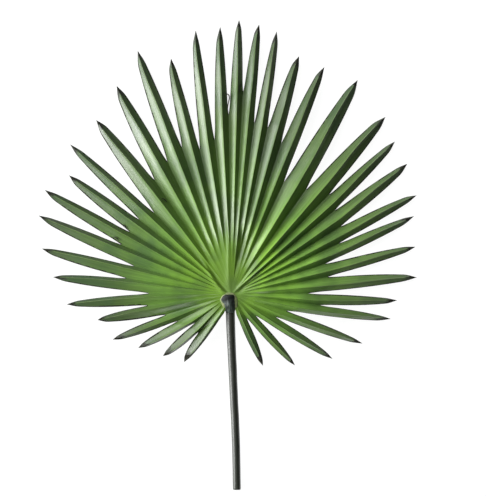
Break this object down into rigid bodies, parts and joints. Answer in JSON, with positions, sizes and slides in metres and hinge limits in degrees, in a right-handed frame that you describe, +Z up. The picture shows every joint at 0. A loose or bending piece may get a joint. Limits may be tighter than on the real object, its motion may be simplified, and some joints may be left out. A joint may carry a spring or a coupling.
{
  "type": "fan palm leaf",
  "caption": "Fan palm leaf cut with its stalk, lying flat: a round pleated blade split into pointed free segments, a slim stalk and a dark flap where they meet.",
  "frame": {"origin": "middle of the leaf's footprint, on the surface it lies on", "axes": "+Y from the cut end of the stalk towards the blade's longest tips, +X towards the blade's right side seen on its face, +Z up, away from the surface"},
  "size_m": [0.4828, 0.5998, 0.0346],
  "materials": {
    "leaf_green": "waxy satin",
    "stalk_green": "smooth satin",
    "horn_brown": "dull horn"
  },
  "bodies": {
    "root": {"blade": "leaf_green", "petiole": "stalk_green", "hastula": "horn_brown"}
  },
  "joints": []
}
